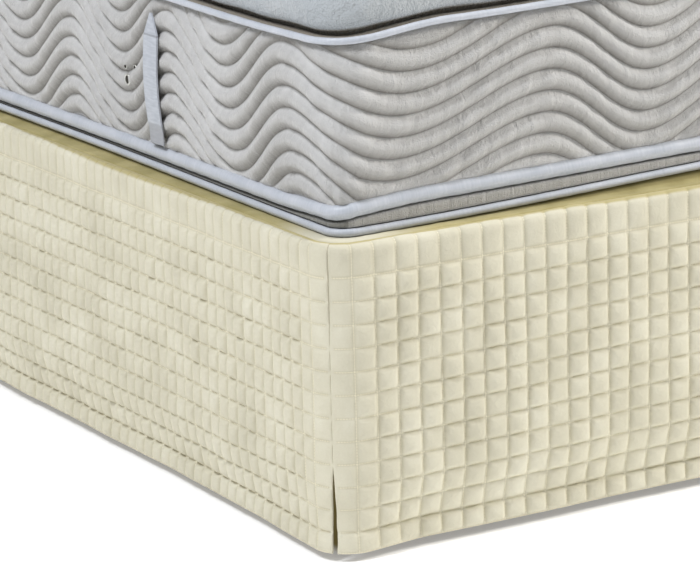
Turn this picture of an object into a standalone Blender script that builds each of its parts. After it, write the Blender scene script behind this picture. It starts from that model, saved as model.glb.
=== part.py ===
"""A tailored three-sided bed skirt on the bed that carries it.

The skirt is three quilted panels, each sewn to a plain deck cloth that lies on the bed base under
the mattress. They meet in a seam at each foot corner, with a slit below it. The foot of the bed
faces -Y, the head is open at +Y, and the origin is on the floor under the middle of the whole.
"""

import math

import bmesh
import bpy
from mathutils import Vector

# Driving dimensions, in metres.
SQUARE = 0.0261  # side of one quilted square
MATTRESS_WIDTH, MATTRESS_LENGTH = 1.524, 2.032
SIDE_LEDGE, FOOT_LEDGE = 0.025, 0.025  # how far the base shows round the mattress
HEM_ABOVE_FLOOR = 0.010
BASE_THICKNESS = 0.190
CORNER_RADIUS = 0.045  # of the skirt's outer face, in plan
SEAM_OFFSET = -0.004  # of the corner seam from the middle of the rounding, towards the foot
HEAD_CORNER_RADIUS = 0.020
EDGE_ROUNDING = 0.008  # of the base's long edges
TOUCH = 0.0003  # between pieces that lie on or against each other

# The quilted cloth, and how a panel falls from the deck seam to its hem.
QUILT_THICKNESS = 0.0045
SEAM_THICKNESS = 0.0022  # where it is sewn to the deck
HEM_STITCH_THICKNESS, HEM_THICKNESS, HEM_FOLD_THICKNESS = 0.0032, 0.0060, 0.0054
CLOTH_CLEARANCE = 0.002  # between the base's side and the panel's back
ROLL_RADIUS = 0.009  # of the cloth's middle, where it turns over the base's edge
FLAP = 0.0035  # flat strip between the deck seam and the roll
FIRST_ROW = 1.41 * SQUARE  # from the top of the roll down to the first row of stitches
UPRIGHT_ROWS = 9
LEANING_ROWS = 2  # these lean in under the bed
LEAN, HEM_FLARE = 12, 8  # degrees from upright
LEAN_BEND = 0.008  # the length of cloth over which it turns inwards, on either side of the line
HEM_BEND = 0.004
HEM_BAND = 0.0238
SWAY = 0.003  # how far the hem wanders outwards along a panel
SWAY_WAVES = ((0.62, 0.4), (0.27, 1.9))  # wavelength in metres, phase in radians
SWAY_FROM = 0.2  # from the corner to where it sways in full
SLIT_LENGTH, SLIT_MOUTH = 0.098, 0.007
SLIT_CURVE = 0.8  # below 1 the slit is widest soon, and above 1 only near its mouth

DECK_THICKNESS = 0.0015

# The mattress's trims, as heights above its underside and how far each lies inside its outline.
LOWER_CORNER_RADIUS, UPPER_CORNER_RADIUS = 0.030, 0.060
LEAST_CORNER_RADIUS = 0.006
SIDE_LIFT, END_LIFT = 0.005, 0.015  # of its lower edge, away from the corners
LIFT_REACH = 0.63  # the distance from a corner over which that comes
ROLL_SHARE = 0.6  # of that lift for the edge roll, which also leaves the cord at the ends
SIDE_OPENING, END_OPENING, OPENING_REACH = -0.003, 0.009, 0.10
CORNER_DROOP = 0.0065  # of its upper edge; the ends' middle stands higher than the sides'
END_CROWN = 0.011
SIDE_DROOP_REACH, END_DROOP_REACH = 0.50, 0.13
LOWER_CORD_RADIUS, LOWER_CORD_HEIGHT = 0.0045, 0.0045
EDGE_ROLL_RADIUS, EDGE_ROLL_HEIGHT = 0.009, 0.0255
UPPER_CORD_RADIUS, UPPER_CORD_HEIGHT = 0.004, 0.2172

LEG_TOP_RADIUS, LEG_FOOT_RADIUS, LEG_INSET = 0.025, 0.018, 0.10
HANDLE_WIDTH, HANDLE_THICKNESS = 0.036, 0.0025
HANDLE_FROM_END = 0.41
HANDLE_FOOT, HANDLE_TOP = 0.038, 0.193  # above the mattress's underside

# Worked out from them.
BASE_WIDTH = MATTRESS_WIDTH + 2 * SIDE_LEDGE
BASE_LENGTH = MATTRESS_LENGTH + FOOT_LEDGE
FACE = CLOTH_CLEARANCE + QUILT_THICKNESS / 2  # the hanging cloth's middle, outside the base's edge
BASE_CORNER_RADIUS = CORNER_RADIUS - CLOTH_CLEARANCE - QUILT_THICKNESS
ROLL_ARC = ROLL_RADIUS * math.pi / 2
FIRST_LINE = FLAP + ROLL_ARC + FIRST_ROW - ROLL_RADIUS  # of stitches, along the cloth
LEAN_START = FIRST_LINE + UPRIGHT_ROWS * SQUARE
HEM_START = LEAN_START + LEANING_ROWS * SQUARE
CLOTH_LENGTH = HEM_START + HEM_BAND  # from the deck seam to the hem's fold
# Along the skirt's face, from the corner seam to where each panel is straight.
SIDE_BEND = CORNER_RADIUS * math.pi / 4 + SEAM_OFFSET
FOOT_BEND = CORNER_RADIUS * math.pi / 4 - SEAM_OFFSET


# Small helpers for meshes and materials.
def linear(hex_colour):
    """The linear colour of an sRGB hex colour."""
    values = [int(hex_colour[i : i + 2], 16) / 255 for i in (0, 2, 4)]
    return [v / 12.92 if v <= 0.04045 else ((v + 0.055) / 1.055) ** 2.4 for v in values]


def material(name, hex_colour, roughness):
    made = bpy.data.materials.new(name)
    made.use_nodes = True
    shader = made.node_tree.nodes["Principled BSDF"]
    shader.inputs["Base Color"].default_value = (*linear(hex_colour), 1)
    shader.inputs["Roughness"].default_value = roughness
    made.diffuse_color = (*linear(hex_colour), 1)
    return made


def finish(name, solid, surface):
    """Makes an object of a bmesh, with its faces turned outwards and its round parts smooth."""
    bmesh.ops.recalc_face_normals(solid, faces=solid.faces)
    mesh = bpy.data.meshes.new(name)
    solid.to_mesh(mesh)
    solid.free()
    mesh.materials.append(surface)
    mesh.shade_smooth()
    mesh.set_sharp_from_angle(angle=math.radians(35))
    made = bpy.data.objects.new(name, mesh)
    bpy.context.scene.collection.objects.link(made)
    return made


def strip(solid, first, second, cyclic=False):
    """Faces between two rows of vertices of the same length."""
    pairs = len(first) if cyclic else len(first) - 1
    for i in range(pairs):
        j = (i + 1) % len(first)
        solid.faces.new((first[i], first[j], second[j], second[i]))


def between(table, at):
    """Reads a table of (place, value) pairs, straight between its rows."""
    for (start, low), (end, high) in zip(table, table[1:]):
        if at <= end:
            return low + (high - low) * max(0.0, at - start) / (end - start)
    return table[-1][1]


def ease(share):
    share = min(1.0, max(0.0, share))
    return share * share * (3 - 2 * share)


# The quilted panels.

# Which way the cloth runs at a distance along it from the deck seam: 0 is outwards and 90 is down.
FALL = (
    (0.0, 0),
    (FLAP, 0),
    (FLAP + ROLL_ARC, 90),
    (LEAN_START - LEAN_BEND, 90),
    (LEAN_START + LEAN_BEND, 90 + LEAN),
    (HEM_START - HEM_BEND, 90 + LEAN),
    (HEM_START + HEM_BEND / 2, 90 - HEM_FLARE),
    (CLOTH_LENGTH, 90 - HEM_FLARE / 2),
)
THICKNESS = (
    (0.0, SEAM_THICKNESS),
    (FLAP + ROLL_ARC / 2, QUILT_THICKNESS),
    (HEM_START - HEM_BEND, QUILT_THICKNESS),
    (HEM_START, HEM_STITCH_THICKNESS),
    (HEM_START + HEM_BEND, HEM_THICKNESS),
    (CLOTH_LENGTH, HEM_FOLD_THICKNESS),
)
FALL_STEP = 0.0005


def fall_points():
    """The cloth's middle at each FALL_STEP along it: how far outside the base's edge and above
    the base's top it lies."""
    out = FACE - ROLL_RADIUS - FLAP
    height = TOUCH + QUILT_THICKNESS / 2
    points = []
    for i in range(round(CLOTH_LENGTH / FALL_STEP) + 1):
        points.append((out, height))
        heading = math.radians(between(FALL, (i + 0.5) * FALL_STEP))
        out += FALL_STEP * math.cos(heading)
        height -= FALL_STEP * math.sin(heading)
    return points


FALL_POINTS = fall_points()
BASE_TOP = HEM_ABOVE_FLOOR - FALL_POINTS[-1][1]
BASE_BOTTOM = BASE_TOP - BASE_THICKNESS
MATTRESS_BOTTOM = BASE_TOP + DECK_THICKNESS + 2 * TOUCH


def section_rows():
    """Distances along the cloth at which a panel has a row of points, closest where it bends."""
    roll = [FLAP + ROLL_ARC * i / 4 for i in range(5)]
    first = [(roll[-1] + FIRST_LINE) / 2, FIRST_LINE]
    upright = [FIRST_LINE + (LEAN_START - FIRST_LINE) * i / 4 for i in (1, 2, 3)]
    lean = [LEAN_START - LEAN_BEND, LEAN_START + LEAN_BEND, (LEAN_START + HEM_START) / 2]
    hem = [HEM_START - HEM_BEND, HEM_START, HEM_START + HEM_BEND, HEM_START + HEM_BAND / 2]
    hem.append(CLOTH_LENGTH)
    return [0.0, *roll, *first, *upright, *lean, *hem]


def sway(run, along):
    """How far the cloth stands out from its straight hang, more towards the hem."""
    wave = sum(math.sin(2 * math.pi * run / length + phase) for length, phase in SWAY_WAVES)
    level = 0.5 + 0.5 * wave / len(SWAY_WAVES)
    return SWAY * level * ease(along / CLOTH_LENGTH) * ease((run - SIDE_BEND) / SWAY_FROM)


def cloth_point(along, run, face):
    """How far out and how high the panel's front (face +1) or back (face -1) lies."""
    out, height = FALL_POINTS[round(along / FALL_STEP)]
    heading = math.radians(between(FALL, along))
    half = face * between(THICKNESS, along) / 2
    out += sway(run, along) + half * math.sin(heading)
    return out, BASE_TOP + height + half * math.cos(heading)


def seam_gap(along):
    """Half the gap between two panels at the corner, which opens into the slit near the hem."""
    share = max(0.0, 1 - (CLOTH_LENGTH - along) / SLIT_LENGTH)
    return TOUCH / 2 + (SLIT_MOUTH - TOUCH) / 2 * share**SLIT_CURVE


def plan_point(run, out, bend):
    """A point in plan, for a foot corner at the origin of a panel that runs along +X and faces -Y.

    run is the distance along the skirt's face from the corner seam, out is how far outside the
    base's edge the point lies, and the panel is straight from run = bend on. The origin is the
    centre of the corner's rounding.
    """
    reach = BASE_CORNER_RADIUS + out
    if run >= bend:
        return Vector((run - bend, -reach))
    turn = (bend - run) / CORNER_RADIUS
    return Vector((-math.sin(turn) * reach, -math.cos(turn) * reach))


def panel(name, runs, place, surface):
    """A panel through columns at the given runs; place puts (run, along, out) on the bed's plan."""
    solid = bmesh.new()
    rows = section_rows()
    columns = []
    for column, run in enumerate(runs):
        sides = []
        for face in (1, -1):
            side = []
            for along in rows:
                out, height = cloth_point(along, run, face)
                side.append(solid.verts.new((*place(column, run, along, out), height)))
            sides.append(side)
        columns.append(sides[0] + sides[1][::-1])
    for first, second in zip(columns, columns[1:]):
        strip(solid, first, second, cyclic=True)
    for end in (columns[0], columns[-1]):
        strip(solid, end[: len(rows)], end[: len(rows) - 1 : -1])
    return finish(name, solid, surface)


def spaced(start, end, step):
    count = max(1, round((end - start) / step))
    return [start + (end - start) * i / count for i in range(count + 1)]


COLUMN_STEP = 0.09
FOOT_RUN = 2 * FOOT_BEND + BASE_WIDTH - 2 * BASE_CORNER_RADIUS
SIDE_RUN = SIDE_BEND + BASE_LENGTH - BASE_CORNER_RADIUS
CORNER_X = BASE_WIDTH / 2 - BASE_CORNER_RADIUS
CORNER_Y = BASE_LENGTH / 2 - BASE_CORNER_RADIUS


def corner_runs(bend):
    """The columns round a corner."""
    return [bend * i / 4 for i in range(5)]


def side_panel(name, side, surface):
    """side is -1 for the panel at -X and +1 for the one at +X."""

    def place(column, run, along, out):
        point = plan_point(seam_gap(along) if column == 0 else run, out, SIDE_BEND)
        return side * (CORNER_X - point.y), point.x - CORNER_Y

    runs = corner_runs(SIDE_BEND)
    runs += spaced(runs[-1], SIDE_RUN, COLUMN_STEP)[1:]
    return panel(name, runs, place, surface)


def foot_panel(name, surface):
    def place(column, run, along, out):
        from_left = run <= FOOT_RUN / 2
        near = run if from_left else FOOT_RUN - run
        if column in (0, len(runs) - 1):
            near = seam_gap(along)
        point = plan_point(near, out, FOOT_BEND)
        x = point.x - CORNER_X
        return (x if from_left else -x), point.y - CORNER_Y

    runs = corner_runs(FOOT_BEND)
    middle = spaced(runs[-1], FOOT_RUN - runs[-1], COLUMN_STEP)[1:-1]
    runs = runs + middle + [FOOT_RUN - run for run in runs[::-1]]
    return panel(name, runs, place, surface)


# Outlines in plan.
def rounded_corner(x, y, radius, start, steps):
    """Points on a quarter circle round (x, y), from the angle start on."""
    angles = [math.radians(start + 90 * i / steps) for i in range(steps + 1)]
    return [Vector((x + radius * math.cos(a), y + radius * math.sin(a))) for a in angles]


def bed_outline(inset, steps=6):
    """The base's outline, moved in by inset: wide rounding at the foot, small at the head."""
    foot = BASE_CORNER_RADIUS - inset
    head = max(HEAD_CORNER_RADIUS - inset, LEAST_CORNER_RADIUS)
    x, y = BASE_WIDTH / 2 - inset, BASE_LENGTH / 2 - inset
    return (
        rounded_corner(-x + foot, -y + foot, foot, 180, steps)
        + rounded_corner(x - foot, -y + foot, foot, 270, steps)
        + rounded_corner(x - head, y - head, head, 0, steps)
        + rounded_corner(-x + head, y - head, head, 90, steps)
    )


def stack(name, loops, surface):
    """A solid through closed loops of points from the bottom up, with flat ends."""
    solid = bmesh.new()
    rows = [[solid.verts.new(point) for point in loop] for loop in loops]
    for low, high in zip(rows, rows[1:]):
        strip(solid, low, high, cyclic=True)
    solid.faces.new(rows[0])
    solid.faces.new(rows[-1])
    return finish(name, solid, surface)


def level(outline, height):
    return [Vector((*point, height)) for point in outline]


def bed_base(surface):
    """An upholstered block whose long edges are rounded over."""
    turns = [math.radians(30 * i) for i in range(4)]
    loops = []
    for turn in turns:
        inset = EDGE_ROUNDING * (1 - math.sin(turn))
        height = BASE_BOTTOM + EDGE_ROUNDING * (1 - math.cos(turn))
        loops.append(level(bed_outline(inset), height))
    for turn in turns[::-1]:
        inset = EDGE_ROUNDING * (1 - math.sin(turn))
        height = BASE_TOP - EDGE_ROUNDING * (1 - math.cos(turn))
        loops.append(level(bed_outline(inset), height))
    return stack("bed_base", loops, surface)


def deck(surface):
    """The plain cloth on the base. It ends at the panels' edges, and at the head with a hem."""
    edge = bed_outline(ROLL_RADIUS + FLAP - FACE + TOUCH)
    low = BASE_TOP + TOUCH
    return stack("deck", [level(edge, low), level(edge, low + DECK_THICKNESS)], surface)


def legs(surface):
    """Turned legs at the corners and at the middle of each side."""
    x = BASE_WIDTH / 2 - LEG_INSET
    y = BASE_LENGTH / 2 - LEG_INSET
    names = ("foot", "middle", "head")
    for side, side_x in (("left", -x), ("right", x)):
        for name, side_y in zip(names, (-y, 0.0, y)):
            solid = bmesh.new()
            bmesh.ops.create_cone(
                solid,
                cap_ends=True,
                segments=20,
                radius1=LEG_FOOT_RADIUS,
                radius2=LEG_TOP_RADIUS,
                depth=BASE_BOTTOM - TOUCH,
            )
            centre = Vector((side_x, side_y, (BASE_BOTTOM - TOUCH) / 2))
            bmesh.ops.translate(solid, vec=centre, verts=solid.verts)
            finish(f"leg_{side}_{name}", solid, surface)


# The mattress.
MATTRESS_Y = FOOT_LEDGE / 2  # its head end is level with the base's
STRAIGHT_STATIONS = (0.05, 0.12, 0.25, 0.44, 0.63)  # from a corner, until its edges run level


def mattress_stations():
    """(corner centre signs, angle, distance from the corner along x, and along y), in order."""
    stations = []
    for index, (sx, sy) in enumerate(((-1, -1), (1, -1), (1, 1), (-1, 1))):
        start = 180 + 90 * index
        along_y = index % 2 == 0
        for distance in STRAIGHT_STATIONS[::-1]:
            stations.append((sx, sy, start, (0, distance) if along_y else (distance, 0)))
        for i in range(6):
            stations.append((sx, sy, start + 18 * i, (0, 0)))
        for distance in STRAIGHT_STATIONS:
            stations.append((sx, sy, start + 90, (distance, 0) if along_y else (0, distance)))
    return stations


STATIONS = mattress_stations()
# Height above the underside, and the corners' radius in plan: they are rounder towards the top.
CORNER_RADII = ((0.04, LOWER_CORNER_RADIUS), (0.20, UPPER_CORNER_RADIUS))


def edge_lift(back_x, back_y, low, roll, high):
    """How far a point is raised, with its shares of what the lower edge, the edge roll and the
    upper edge do. back_x or back_y is how far it lies from a corner along an end or a side."""
    at_end = back_x > 0
    back = back_x + back_y
    lift = (END_LIFT if at_end else SIDE_LIFT) * ease(back / LIFT_REACH)
    opening = (END_OPENING if at_end else SIDE_OPENING) * ease(back / OPENING_REACH)
    raised = CORNER_DROOP + (END_CROWN if at_end else 0)
    raised *= ease(back / (END_DROOP_REACH if at_end else SIDE_DROOP_REACH))
    return low * lift + roll * (ROLL_SHARE * lift + opening) + high * (raised - CORNER_DROOP)


def mattress_loop(inset, height, low=0.0, roll=0.0, high=0.0):
    """One loop round the mattress, inset from its outline; the shares are as in edge_lift."""
    radius = max(between(CORNER_RADII, height) - inset, LEAST_CORNER_RADIUS)
    x = MATTRESS_WIDTH / 2 - inset - radius
    y = MATTRESS_LENGTH / 2 - inset - radius
    loop = []
    for sx, sy, degrees, (back_x, back_y) in STATIONS:
        angle = math.radians(degrees)
        across = sx * (x - back_x) + radius * math.cos(angle)
        along = sy * (y - back_y) + radius * math.sin(angle) + MATTRESS_Y
        lift = edge_lift(back_x, back_y, low, roll, high)
        loop.append(Vector((across, along, MATTRESS_BOTTOM + height + lift)))
    return loop


# The body's side: height above the underside, inset, and shares as in edge_lift.
BODY_SIDE = (
    (0.0000, 0.0700, 0.0, 0.0, 0.0),
    (0.0003, 0.0150, 0.0, 0.0, 0.0),
    (0.0012, 0.0125, 1.0, 0.0, 0.0),
    (0.0030, 0.0103, 1.0, 0.0, 0.0),
    (0.0095, 0.0103, 1.0, 0.0, 0.0),
    (0.0100, 0.0045, 1.0, 0.0, 0.0),
    (0.0152, 0.0045, 0.0, 1.0, 0.0),
    (0.0158, 0.0183, 0.0, 1.0, 0.0),
    (0.0352, 0.0183, 0.0, 1.0, 0.0),
    (0.0364, 0.0100, 0.0, 1.0, 0.0),
    (0.0600, 0.0045, 0.0, 0.86, 0.14),
    (0.1250, 0.0025, 0.0, 0.48, 0.52),
    (0.1940, 0.0045, 0.0, 0.10, 0.90),
    (0.2115, 0.0100, 0.0, 0.0, 1.0),
    (0.2125, 0.0084, 0.0, 0.0, 1.0),
    (0.2215, 0.0084, 0.0, 0.0, 1.0),
    (0.2230, 0.0140, 0.0, 0.0, 1.0),
    (0.2230, 0.0190, 0.0, 0.0, 1.0),
    (0.2075, 0.0195, 0.0, 0.0, 0.0),
)
# The pillow top, which sits in the body's sunk top: height, inset, and share of the upper edge's lift.
PILLOW_SIDE = (
    (0.2078, 0.0200, 0.0),
    (0.2233, 0.0200, 1.0),
    (0.2290, 0.0100, 1.0),
    (0.2405, 0.0050, 1.0),
    (0.2550, 0.0060, 1.0),
    (0.2680, 0.0140, 0.7),
    (0.2760, 0.0300, 0.2),
    (0.2790, 0.0600, 0.0),
)


def ring(name, radius, height, surface, sides=10, **shares):
    """A cord or roll round the mattress, its outer side on the outline; shares as in edge_lift."""
    solid = bmesh.new()
    rows = []
    for i in range(sides):
        turn = 2 * math.pi * i / sides
        inset = radius - radius * math.cos(turn)
        loop = mattress_loop(inset, height + radius * math.sin(turn), **shares)
        rows.append([solid.verts.new(point) for point in loop])
    for first, second in zip(rows, rows[1:] + rows[:1]):
        strip(solid, first, second, cyclic=True)
    return finish(name, solid, surface)


def mattress(border, ticking, trim):
    body = [mattress_loop(inset, height, *shares) for height, inset, *shares in BODY_SIDE]
    stack("mattress", body, border)
    pillow = [mattress_loop(inset, height, high=high) for height, inset, high in PILLOW_SIDE]
    stack("mattress_pillow_top", pillow, ticking)
    ring("mattress_lower_cord", LOWER_CORD_RADIUS, LOWER_CORD_HEIGHT, trim, low=1)
    ring("mattress_edge_roll", EDGE_ROLL_RADIUS, EDGE_ROLL_HEIGHT, trim, roll=1)
    ring("mattress_upper_cord", UPPER_CORD_RADIUS, UPPER_CORD_HEIGHT, trim, high=1)


def handles(surface):
    """Flat straps sewn to the mattress's long sides."""
    side_rows = BODY_SIDE[9:14]
    heights = (HANDLE_FOOT, *[row[0] for row in side_rows[1:3]], HANDLE_TOP)
    insets = [(row[0], row[1]) for row in side_rows]
    roll_shares = [(row[0], row[3]) for row in side_rows]
    high_shares = [(row[0], row[4]) for row in side_rows]
    for side_name, side in (("left", -1), ("right", 1)):
        for end_name, end in (("foot", -1), ("head", 1)):
            centre = MATTRESS_Y + end * (MATTRESS_LENGTH / 2 - HANDLE_FROM_END)
            solid = bmesh.new()
            rows = []
            for offset in (TOUCH, TOUCH + HANDLE_THICKNESS):
                for edge in (-HANDLE_WIDTH / 2, HANDLE_WIDTH / 2):
                    row = []
                    for height in heights:
                        x = side * (MATTRESS_WIDTH / 2 - between(insets, height) + offset)
                        roll, high = between(roll_shares, height), between(high_shares, height)
                        lift = edge_lift(0, HANDLE_FROM_END, 0, roll, high)
                        z = MATTRESS_BOTTOM + height + lift
                        row.append(solid.verts.new((x, centre + edge, z)))
                    rows.append(row)
            back_low, back_high, front_low, front_high = rows
            loop = (back_low, back_high, front_high, front_low)
            for first, second in zip(loop, loop[1:] + loop[:1]):
                strip(solid, first, second)
            for end_index in (0, -1):
                solid.faces.new([row[end_index] for row in loop])
            finish(f"mattress_handle_{side_name}_{end_name}", solid, surface)


def centre_on_floor():
    """Moves everything so that the origin is under the middle of the whole, on the floor."""
    meshes = [made.data for made in bpy.data.objects]
    ys = [vertex.co.y for mesh in meshes for vertex in mesh.vertices]
    shift = -(min(ys) + max(ys)) / 2
    for mesh in meshes:
        for vertex in mesh.vertices:
            vertex.co.y += shift


def build():
    for old in list(bpy.data.objects):
        bpy.data.objects.remove(old)
    quilted = material("quilted_ivory_microfibre", "E4DEC2", 0.85)
    plain = material("plain_ivory_cloth", "DDD6B6", 0.85)
    border = material("grey_knit_border", "B4B1AA", 0.7)
    ticking = material("pale_ticking", "DDE0E6", 0.7)
    trim = material("pale_woven_tape", "D3D8E0", 0.6)
    base_cloth = material("base_upholstery", "CFC9B8", 0.85)
    wood = material("beech_leg", "B08A5B", 0.45)
    side_panel("side_panel_left", -1, quilted)
    side_panel("side_panel_right", 1, quilted)
    foot_panel("foot_panel", quilted)
    deck(plain)
    bed_base(base_cloth)
    legs(wood)
    mattress(border, ticking, trim)
    handles(trim)
    centre_on_floor()


build()
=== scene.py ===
import math

import bmesh
import bpy
import numpy as np
from mathutils import Matrix, Vector


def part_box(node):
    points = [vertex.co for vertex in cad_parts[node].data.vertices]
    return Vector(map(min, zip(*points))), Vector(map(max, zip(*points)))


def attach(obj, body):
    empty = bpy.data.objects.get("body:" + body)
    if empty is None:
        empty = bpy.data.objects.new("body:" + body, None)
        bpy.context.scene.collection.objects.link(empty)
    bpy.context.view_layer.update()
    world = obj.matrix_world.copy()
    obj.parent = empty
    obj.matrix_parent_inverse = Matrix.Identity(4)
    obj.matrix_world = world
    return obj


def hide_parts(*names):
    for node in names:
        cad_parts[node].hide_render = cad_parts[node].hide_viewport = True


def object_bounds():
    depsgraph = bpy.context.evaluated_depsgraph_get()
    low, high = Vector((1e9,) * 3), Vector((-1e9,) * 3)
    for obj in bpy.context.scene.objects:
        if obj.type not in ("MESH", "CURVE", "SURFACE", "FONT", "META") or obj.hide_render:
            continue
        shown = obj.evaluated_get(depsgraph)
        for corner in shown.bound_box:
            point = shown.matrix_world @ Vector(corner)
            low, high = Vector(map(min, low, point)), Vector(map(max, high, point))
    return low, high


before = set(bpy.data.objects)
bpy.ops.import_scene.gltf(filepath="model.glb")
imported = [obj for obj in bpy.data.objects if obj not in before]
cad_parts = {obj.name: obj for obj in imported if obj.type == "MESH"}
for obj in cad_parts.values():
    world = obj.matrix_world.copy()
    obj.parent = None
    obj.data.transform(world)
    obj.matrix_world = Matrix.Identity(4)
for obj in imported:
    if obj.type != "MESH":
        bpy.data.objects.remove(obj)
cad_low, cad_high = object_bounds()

# ----------------------------------------------------------
# Bed base. A timber frame, thinly padded and covered in a plain woven upholstery cloth that is
# stapled under it. The skirt hides all but its head end and its underside.
base_low, base_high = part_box("bed_base")
BASE_FOOT_CORNER, BASE_HEAD_CORNER, BASE_EDGE = 0.0385, 0.020, 0.008


def linear(hex_colour):
    """The linear colour of an sRGB hex colour."""
    values = [int(hex_colour[i : i + 2], 16) / 255 for i in (0, 2, 4)]
    return [v / 12.92 if v <= 0.04045 else ((v + 0.055) / 1.055) ** 2.4 for v in values]


def connect(tree, node, inputs):
    """Fills a node's inputs, in order or by name or number: a socket, a hex colour or a value."""
    for key, value in inputs.items() if isinstance(inputs, dict) else enumerate(inputs):
        if isinstance(value, bpy.types.NodeSocket):
            tree.links.new(value, node.inputs[key])
        else:
            is_colour = isinstance(value, str)
            node.inputs[key].default_value = (*linear(value), 1) if is_colour else value


def add(tree, kind, inputs=(), output=0, stops=None, **settings):
    """Adds a shader node with its settings and links, and gives one output, or with None all.

    kind may end in the operation of a maths node. stops are a colour ramp's places and hex colours.
    """
    kind, _, operation = kind.partition(" ")
    if operation:
        settings["operation"] = operation
    node = tree.nodes.new("ShaderNode" + kind)
    for key, value in settings.items():
        setattr(node, key, value)
    if stops:
        elements = node.color_ramp.elements
        while len(elements) < len(stops):
            elements.new(0.5)
        for element, (place, colour) in zip(elements, stops.items()):
            element.position = place
            element.color = (*linear(colour), 1)
    connect(tree, node, inputs)
    return node.outputs[:] if output is None else node.outputs[output]


def new_material(name, inputs):
    """A Principled material, with its tree and shader. inputs are the shader's own values."""
    made = bpy.data.materials.new(name)
    made.use_nodes = True
    shader = made.node_tree.nodes["Principled BSDF"]
    connect(made.node_tree, shader, inputs)
    return made, made.node_tree, shader


def weighted(tree, *patterns, start=0.0):
    """Adds up patterns, each given with its share."""
    total = start
    for pattern, share in patterns:
        total = add(tree, "Math MULTIPLY_ADD", (pattern, share, total))
    return total


def finish(tree, shader, colour, relief, strength, distance):
    """Gives a shader its colour, and its relief as a bump of that strength and distance."""
    bump = add(tree, "Bump", {"Height": relief, "Strength": strength, "Distance": distance})
    connect(tree, shader, {"Base Color": colour, "Normal": bump})


def select_only(piece):
    bpy.ops.object.select_all(action="DESELECT")
    piece.select_set(True)
    bpy.context.view_layer.objects.active = piece


def bevel_edges(piece, test, width, segments):
    """Rounds the edges whose middle and direction pass the test, in edit mode."""
    select_only(piece)
    bpy.ops.object.mode_set(mode="EDIT")
    bpy.ops.mesh.select_all(action="DESELECT")
    bpy.ops.mesh.select_mode(type="EDGE")
    bpy.ops.object.mode_set(mode="OBJECT")
    for edge in piece.data.edges:
        a, b = (piece.data.vertices[i].co for i in edge.vertices)
        edge.select = bool(test((a + b) / 2, (b - a).normalized()))
    bpy.ops.object.mode_set(mode="EDIT")
    bpy.ops.mesh.bevel(offset=width, offset_type="OFFSET", segments=segments)
    bpy.ops.object.mode_set(mode="OBJECT")


bpy.ops.object.select_all(action="DESELECT")
bpy.ops.mesh.primitive_cube_add(size=1, location=(base_low + base_high) / 2)
base = bpy.context.object
base.name = "base_block"
base.scale = base_high - base_low
bpy.ops.object.transform_apply()
upright = lambda direction: abs(direction.z) > 0.9
bevel_edges(base, lambda m, d: upright(d) and m.y < 0, BASE_FOOT_CORNER, 8)
bevel_edges(base, lambda m, d: upright(d) and m.y > 0.9 * base_high.y, BASE_HEAD_CORNER, 5)
level_edge = lambda m: min(m.z - base_low.z, base_high.z - m.z) < 1e-4
bevel_edges(base, lambda m, d: level_edge(m) and abs(d.z) < 0.1, BASE_EDGE, 4)
select_only(base)
bpy.ops.object.shade_smooth_by_angle(angle=math.radians(35))

# Plain-woven polyester upholstery cloth: matt, with yarns about 0.6 mm apart. They are drawn
# 2.5 mm apart, so that they show from a step away.
YARNS_APART = 0.0025
TEXTURE_WAVES = 3.2  # in a metre, of the wave texture at a scale of 1
base_cloth, tree, shader = new_material("base_woven_cloth", {"Roughness": 0.9, "Sheen Weight": 0.2})
place = add(tree, "TexCoord", output="Object")
yarns = []
for direction in ("X", "Z"):
    yarns.append(add(tree, "TexWave", {"Vector": place, "Scale": 1 / YARNS_APART / TEXTURE_WAVES,
                     "Distortion": 1.2, "Detail": 1, "Detail Scale": 2}, "Fac",
                     bands_direction=direction))
weave = add(tree, "Math MULTIPLY", yarns)
cloud = add(tree, "TexNoise", {"Vector": place, "Scale": 9, "Detail": 4})
tone = weighted(tree, (cloud, 0.7), (weave, 0.25), start=0.15)
colour = add(tree, "ValToRGB", (tone,), stops={0.25: "B3AC9A", 0.8: "CFC9B9"})
finish(tree, shader, colour, weave, 0.35, 0.0004)
base.data.materials.append(base_cloth)
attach(base, "root")
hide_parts("bed_base")

# ----------------------------------------------------------
# Legs. Six turned beech legs, wider at the top, screwed into the base: lathe-turned, sanded and
# clear-lacquered, with a rounded foot.
LEG_TOP, LEG_FOOT = 0.025, 0.018
TOP_EDGE, FOOT_EDGE = 0.0015, 0.003  # rounded

# Clear-lacquered beech: pale brown with fine darker flecks along the grain, about 1 mm wide.
beech, tree, shader = new_material("lacquered_beech", {"Roughness": 0.35, "Coat Weight": 0.4,
                                                       "Coat Roughness": 0.2})
place = add(tree, "TexCoord", output="Object")
grain_place = add(tree, "Mapping", {"Vector": place, "Scale": (1.0, 1.0, 0.08)})
grain = add(tree, "TexNoise", {"Vector": grain_place, "Scale": 420, "Detail": 5, "Roughness": 0.6})
colour = add(tree, "ValToRGB", (grain,), stops={0.3: "8F6A41", 0.5: "B58C5C", 0.75: "C7A06F"})
finish(tree, shader, colour, grain, 0.12, 0.0003)

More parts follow.
